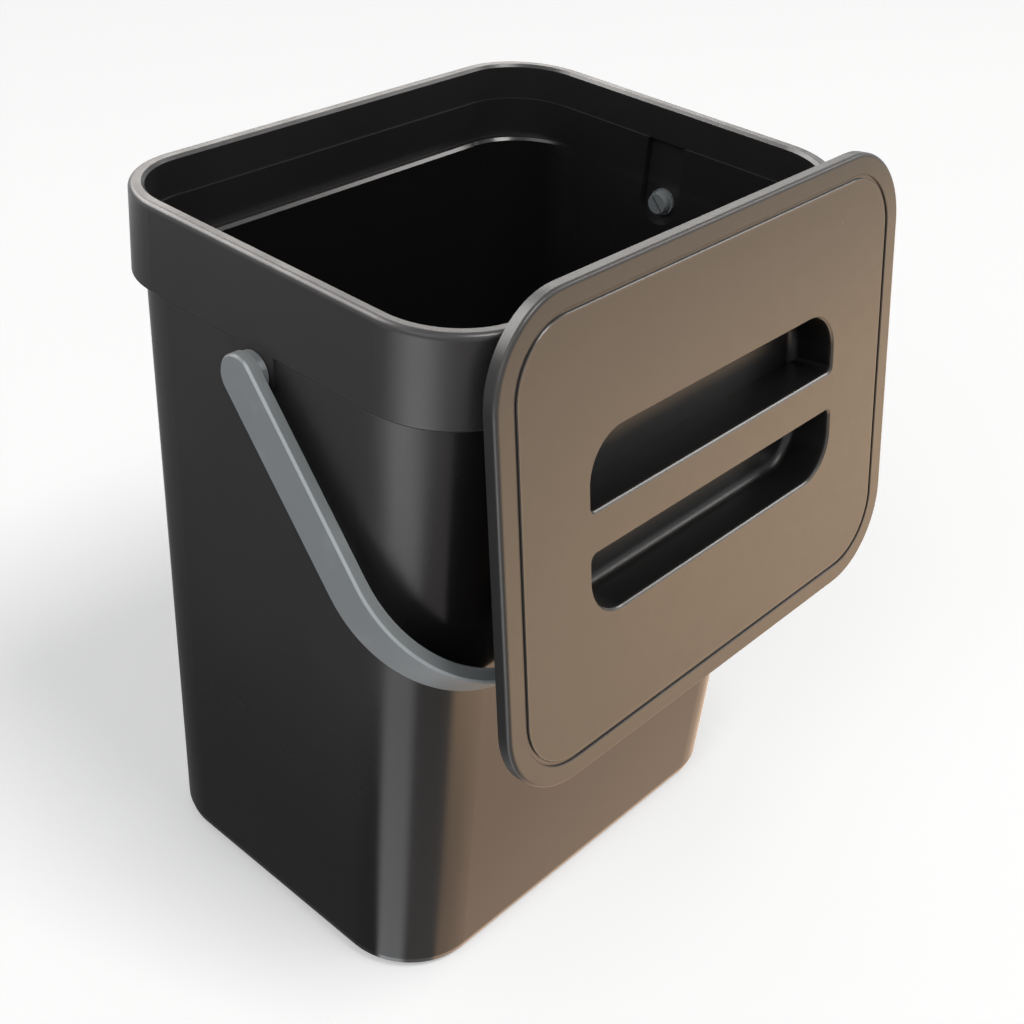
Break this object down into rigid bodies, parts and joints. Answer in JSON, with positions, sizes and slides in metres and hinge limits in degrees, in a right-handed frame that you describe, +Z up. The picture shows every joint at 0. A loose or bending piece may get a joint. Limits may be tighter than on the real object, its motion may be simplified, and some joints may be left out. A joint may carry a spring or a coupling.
{
  "type": "hanging waste bin",
  "caption": "Tapered plastic waste bin with a deep collar, a snap-in carry handle, and a lift-off lid with finger pockets hooked over the front rim.",
  "frame": {"origin": "middle of the bucket's underside", "axes": "+Z up through the bucket, -Y towards the front where the lid hangs, X along the handle's pivot axis"},
  "size_m": [0.26, 0.2148, 0.3115],
  "materials": {
    "bin_plastic": "satin moulded black plastic",
    "lid_plastic": "satin moulded black plastic, finely textured face",
    "handle_plastic": "satin grey plastic"
  },
  "bodies": {
    "bin": {"bucket": "bin_plastic"},
    "lid": {"lid": "lid_plastic"},
    "handle": {"carry_handle": "handle_plastic"}
  },
  "joints": [
    {"name": "lid_lift", "type": "slide", "parent": "bin", "child": "lid", "axis": [0, -0.7071, 0.7071], "range_m": [0, 0.62]},
    {"name": "handle_swing", "type": "hinge", "parent": "bin", "child": "handle", "pos_m": [0, 0, 0.257], "axis": [-1, 0, 0], "range_deg": [0, 275.06]}
  ],
  "couplings": [
    {"joint": "handle_swing", "follows": "lid_lift", "rad_per_m": 7.7431}
  ]
}
